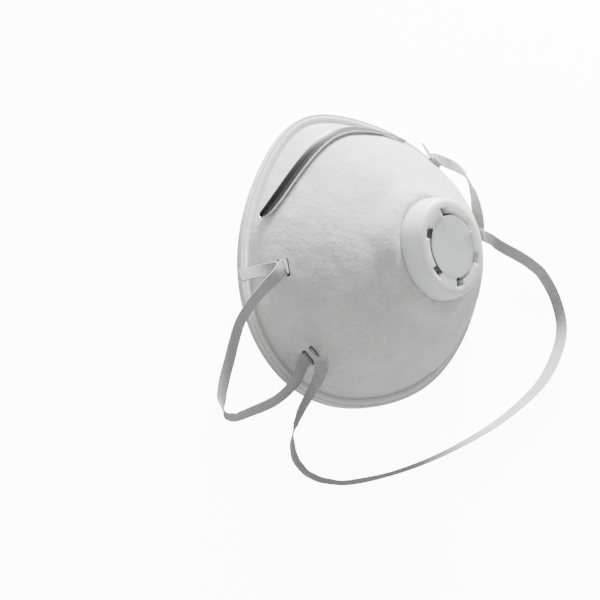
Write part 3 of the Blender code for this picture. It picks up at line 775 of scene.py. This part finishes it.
# ---- the valve -----------------------------------------------------------------------------------
def lathe(name, profile, finish, count=VALVE_SEGMENTS):
    """Turns a closed profile of (radius, height) about the valve's axis."""
    points, starts = [], []
    for radius, height in profile:
        starts.append((len(points), radius == 0))
        steps = 1 if radius == 0 else count
        for i in range(steps):
            angle = 2 * math.pi * i / count
            points.append(valve_point(radius * math.cos(angle), radius * math.sin(angle), height))
    faces = []
    for index, (start, is_tip) in enumerate(starts):
        following, next_is_tip = starts[(index + 1) % len(starts)]
        if is_tip and next_is_tip:
            continue
        if is_tip:
            faces += [(start, following + i, following + (i + 1) % count) for i in range(count)]
        elif next_is_tip:
            faces += [(start + i, start + (i + 1) % count, following) for i in range(count)]
        else:
            faces += ring_faces(start, following, count)
    return add_piece(name, points, faces, finish)


def prism(name, outline, bottom, top, finish):
    count = len(outline)
    points = [valve_point(x, y, bottom) for x, y in outline] + [valve_point(x, y, top) for x, y in outline]
    faces = [tuple(range(count)), tuple(range(count, 2 * count))] + ring_faces(0, count, count)
    return add_piece(name, points, faces, finish)


def arc(radius, start, end, steps):
    return [(radius * math.cos(math.radians(start + (end - start) * i / steps)),
             radius * math.sin(math.radians(start + (end - start) * i / steps))) for i in range(steps + 1)]


def window_outline(start):
    end = start + WINDOW_SPAN
    outline = arc(WINDOW_RADIUS, start, start + WINDOW_END_SPAN, 8)
    outline += arc(WINDOW_SLIT_RADIUS, start + WINDOW_END_SPAN, end - WINDOW_END_SPAN, 16)
    outline += arc(WINDOW_RADIUS, end - WINDOW_END_SPAN, end, 8)
    return outline + arc(DISC_RADIUS, end, start, 30)


def valve_cover(finish):
    """The cover's steep skirt, its top ring with three windows, and the flat disc they surround."""
    plate = COVER_HEIGHT - COVER_PLATE
    ring_bottom = DIAPHRAGM_HEIGHT + DIAPHRAGM_THICK + 1.8
    profile = [
        (COVER_RADIUS - 0.1, GAP), (COVER_RADIUS, GAP + 0.15), (COVER_RADIUS, 1.2), (20.5, 2.6), (20.3, 4.2),
        (20.08, 5.6), (19.8, 7.0), (19.5, 8.1), (19.2, 8.9), (18.95, 9.35), (18.6, 9.75),
        (COVER_TOP_RADIUS - 0.2, 10.02), (17.8, 10.2), (17.3, COVER_HEIGHT), (16.6, COVER_HEIGHT),
        (12.9, COVER_HEIGHT - 0.04), (12.2, COVER_HEIGHT - 0.10), (0, COVER_HEIGHT - 0.12),
        (0, plate), (10.4, plate), (12.0, COVER_HEIGHT - 0.6), (12.9, COVER_HEIGHT - 0.6),
        (12.9, ring_bottom), (16.9, ring_bottom), (17.3, 4.0), (17.6, GAP),
    ]
    cover = lathe("valve-cover-shell", profile, finish)
    guides = []
    for i in range(3):
        start = SPOKE_FIRST + 120 * i + (120 - WINDOW_SPAN) / 2
        guides.append(prism(f"window-guide-{i + 1}", window_outline(start), ring_bottom - 1.5,
                            COVER_HEIGHT + 1, finish))
    join_shape(cover, guides, "DIFFERENCE")
    round_edges(cover, COVER_EDGE)
    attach(cover, "mask")
    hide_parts("valve_cover")


def star_outline(arms, hub, half_width, reach):
    """Spokes from a hub, as one closed outline."""
    corners = ((hub, -half_width), (reach, -half_width), (reach, half_width), (hub, half_width))
    outline = []
    for i in range(arms):
        angle = 2 * math.pi * i / arms + math.pi / 2
        ux, uy = math.cos(angle), math.sin(angle)
        for along, across in corners:
            outline.append((ux * along - uy * across, uy * along + ux * across))
    return outline


def valve_seat(finish):
    """The clamp flange inside the mask, the throat and sealing lip, five ribs and the post."""
    below = -STACK - GAP
    profile = [
        (CLAMP_RADIUS - 0.2, below), (CLAMP_RADIUS, below - 0.25), (CLAMP_RADIUS, below - 0.9),
        (CLAMP_RADIUS - 0.4, below - 1.25), (17.0, below - 1.3), (16.2, below - 1.3), (16.0, below - 1.1),
        (14.2, below - 1.1), (14.0, below - 1.3), (12.0, below - 1.3), (11.6, below - 1.0), (11.6, 2.6),
        (12.6, 3.3), (12.8, DIAPHRAGM_HEIGHT - GAP), (13.1, DIAPHRAGM_HEIGHT - GAP), (13.1, below),
    ]
    seat = lathe("valve-seat-body", profile, finish)
    ribs = prism("rib-guide", star_outline(5, 1.7, 0.55, 12.2), below - 0.9, 1.2, finish)
    post = lathe("post-guide", [(0, -2.0), (0, 6.9), (1.3, 6.9), (1.6, 6.5), (1.6, -2.0)], finish, 32)
    join_shape(seat, [ribs, post], "UNION")
    round_edges(seat, SEAT_EDGE)
    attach(seat, "mask")
    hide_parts("valve_seat")


def valve_diaphragm(finish):
    """A thin disc with a thicker bead round its middle hole."""
    top = DIAPHRAGM_HEIGHT + DIAPHRAGM_THICK
    profile = [
        (DIAPHRAGM_HOLE, DIAPHRAGM_HEIGHT + 0.05), (DIAPHRAGM_HOLE, top + 0.1), (2.3, top + 0.22),
        (3.0, top + 0.22), (3.4, top), (13.9, top), (DIAPHRAGM_RADIUS, top - 0.12),
        (DIAPHRAGM_RADIUS, DIAPHRAGM_HEIGHT + 0.12), (14.1, DIAPHRAGM_HEIGHT), (2.2, DIAPHRAGM_HEIGHT),
    ]
    disc = lathe("valve-diaphragm-disc", profile, finish)
    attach(disc, "diaphragm")
    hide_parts("valve_diaphragm")


# ---- the strap -----------------------------------------------------------------------------------
def threaded(place, fold, outwards=False):
    """The way through a pair of slits, with the first points of the fold over it."""
    origin, along, up, normal = wall_frame(*place)
    way = [(origin + up * step + normal * height, along) for step, height in THREAD + FOLD[:fold]]
    return way[::-1] if outwards else way


def free(stretch):
    """Points of a free stretch, with the width direction from each point's lean."""
    places = [np.array(item[:3]) for item in stretch]
    result = []
    for i, item in enumerate(stretch):
        ahead = places[min(i + 1, len(places) - 1)] - places[max(i - 1, 0)]
        ahead = ahead / np.linalg.norm(ahead)
        sideways = np.cross(ahead, (0.0, 0.0, 1.0))
        sideways = sideways / np.linalg.norm(sideways)
        upright = np.cross(sideways, ahead)
        lean = math.radians(item[3])
        result.append((places[i], upright * math.cos(lean) + sideways * math.sin(lean)))
    return result


def strap_stations():
    """Smooth, close stations along the route: place and width direction."""
    left = free(TAIL_LEFT) + threaded(UPPER_LEFT, 2) + free(LOOP_LEFT) + threaded(LOWER_LEFT, 0)
    right = free(LOOP_RIGHT) + threaded(UPPER_RIGHT, 4, True) + free(TAIL_RIGHT)
    route = left + free(NECK_LOOP) + threaded(LOWER_RIGHT, 4, True) + right
    places = [place for place, _ in route]
    widths = [route[0][1]]
    for _, across in route[1:]:
        widths.append(across if across @ widths[-1] >= 0 else -across)
    stations = []
    for i in range(len(places) - 1):
        before, start = places[max(i - 1, 0)], places[i]
        end, after = places[i + 1], places[min(i + 2, len(places) - 1)]
        steps = max(1, round(np.linalg.norm(end - start) / STRAP_STEP))
        for step in range(steps):
            t = step / steps
            place = 0.5 * (2 * start + (end - before) * t
                           + (2 * before - 5 * start + 4 * end - after) * t * t
                           + (3 * start - before - 3 * end + after) * t ** 3)
            stations.append((place, widths[i] * (1 - smooth(t)) + widths[i + 1] * smooth(t)))
    stations.append((places[-1], widths[-1]))
    return stations


def strap_section():
    """Half-widths and half-thicknesses round the strap, ribbed on both faces, with the rib share."""
    count = STRAP_RIBS * 4
    side = np.linspace(-0.97, 0.97, count + 1)
    rib = 0.5 - 0.5 * np.cos(2 * math.pi * STRAP_RIBS * (side + 0.97) / 1.94)
    half = 0.78 + 0.22 * rib
    upper = [(s, h, r) for s, h, r in zip(side, half, rib)]
    lower = [(s, -h, r) for s, h, r in zip(side[::-1], half, rib[::-1])]
    return upper + [(1.0, 0.45, 0.6), (1.0, -0.45, 0.6)] + lower + [(-1.0, -0.45, 0.6), (-1.0, 0.45, 0.6)]


def elastic_strap():
    """The flat elastic along its whole route."""
    stations = strap_stations()
    section = strap_section()
    points, places, ribs, travelled = [], [], [], 0.0
    for i, (place, across) in enumerate(stations):
        ahead = stations[min(i + 1, len(stations) - 1)][0] - stations[max(i - 1, 0)][0]
        ahead = ahead / np.linalg.norm(ahead)
        across = across - ahead * (across @ ahead)
        across = across / np.linalg.norm(across)
        thick = np.cross(ahead, across)
        if i:
            travelled += np.linalg.norm(place - stations[i - 1][0])
        for side, height, rib in section:
            points.append(place + across * side * STRAP_WIDTH / 2 + thick * height * STRAP_THICK / 2)
            places.append((travelled, side * STRAP_WIDTH / 2))
            ribs.append(rib)
    strap = add_piece("elastic-strap-band", points, tube_faces(len(stations), len(section)),
                      knitted_elastic(), SOFT_SMOOTH)
    set_uv(strap, places)
    set_attribute(strap, "rib", ribs)
    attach(strap, "mask")
    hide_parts("elastic_strap")
    exit_place = outer_face(*find_row(*UPPER_LEFT)) * MM


# ---- the room ------------------------------------------------------------------------------------
def camera():
    data = bpy.data.cameras.new("camera")
    data.sensor_width = SENSOR_WIDTH
    data.lens = FOCAL_LENGTH
    data.clip_start = 0.01
    made = bpy.data.objects.new("camera", data)
    right, up = Vector(CAMERA_RIGHT), Vector(CAMERA_UP)
    back = right.cross(up)
    turn = Matrix((right, up, back)).transposed().to_4x4()
    made.matrix_world = Matrix.Translation(CAMERA_PLACE) @ turn
    bpy.context.scene.collection.objects.link(made)
    bpy.context.scene.camera = made


def area_light(name, place, size, power):
    data = bpy.data.lights.new(name, "AREA")
    data.shape = "DISK"
    data.size = size
    data.energy = power
    made = bpy.data.objects.new(name, data)
    made.location = place
    towards = Vector(LIGHT_TARGET) - Vector(place)
    made.rotation_euler = towards.to_track_quat("-Z", "Y").to_euler()
    bpy.context.scene.collection.objects.link(made)


def sky():
    """An even white sky that looks brighter to the camera than it lights."""
    world = bpy.data.worlds.new("studio")
    bpy.context.scene.world = world
    world.use_nodes = True
    nodes, links = world.node_tree.nodes, world.node_tree.links
    background = nodes["Background"]
    background.inputs["Color"].default_value = (1.0, 1.0, 1.0, 1.0)
    seen = nodes.new("ShaderNodeLightPath").outputs["Is Camera Ray"]
    strength = nodes.new("ShaderNodeMapRange")
    strength.inputs["To Min"].default_value = SKY_STRENGTH
    strength.inputs["To Max"].default_value = BACKDROP_STRENGTH
    links.new(seen, strength.inputs["Value"])
    links.new(strength.outputs["Result"], background.inputs["Strength"])


def floor_paper():
    """White paper that looks brighter to the camera than it lights, except under the mask."""
    paper = Nodes("floor_paper", (0.95, 0.95, 0.95), 0.9)
    paper.link(paper.ramp(paper.noise(paper.place(), 3.0), (0.3, (0.94,) * 3), (0.7, (0.96,) * 3)),
               paper.shader.inputs["Base Color"])
    seen = paper.tree.nodes.new("ShaderNodeLightPath").outputs["Is Camera Ray"]
    middle = paper.add("ShaderNodeVectorMath", Vector=paper.place())
    middle.operation = "LENGTH"
    open_floor = paper.math("GREATER_THAN", middle.outputs["Value"], BACKDROP_FROM)
    paper.set("Emission Color", (1.0, 1.0, 1.0, 1.0))
    paper.link(paper.math("MULTIPLY", paper.math("MULTIPLY", seen, open_floor), BACKDROP_STRENGTH),
               paper.shader.inputs["Emission Strength"])
    return paper.material


def paper_floor():
    half = FLOOR_HALF
    corners = [(-half, -half, 0), (half, -half, 0), (half, half, 0), (-half, half, 0)]
    mesh = bpy.data.meshes.new("floor")
    mesh.from_pydata(corners, [], [(0, 1, 2, 3)])
    mesh.materials.append(floor_paper())
    floor = bpy.data.objects.new("floor", mesh)
    bpy.context.scene.collection.objects.link(floor)


camera()
sky()
area_light("key", place=(0.62, 0.76, 0.24), size=0.35, power=62.0)
area_light("fill", place=(-0.3, -1.0, 0.12), size=0.6, power=4.0)
paper_floor()
elastic_strap()

cup_layer("cover_web", felt("cover_web_felt", (0.76, 0.76, 0.755), (0.58, 0.58, 0.575), welded=True))
cup_layer("filter_media", felt("filter_web", (0.88, 0.88, 0.86), (0.80, 0.80, 0.78)), 120, 4, 36)
cup_layer("support_shell", felt("support_felt", (0.82, 0.82, 0.80), (0.70, 0.70, 0.68)), 120, 4, 36)
cup_layer("inner_lining", felt("lining_web", (0.87, 0.87, 0.86), (0.76, 0.76, 0.75), 1.3, 0.8), 300, 8, 70)
nose_pieces()

valve_plastic = moulded_plastic("valve_moulding", (0.86, 0.87, 0.86), (0.80, 0.82, 0.80), 0.42)
valve_cover(valve_plastic)
valve_seat(valve_plastic)
valve_diaphragm(rubber_sheet_painted_light())
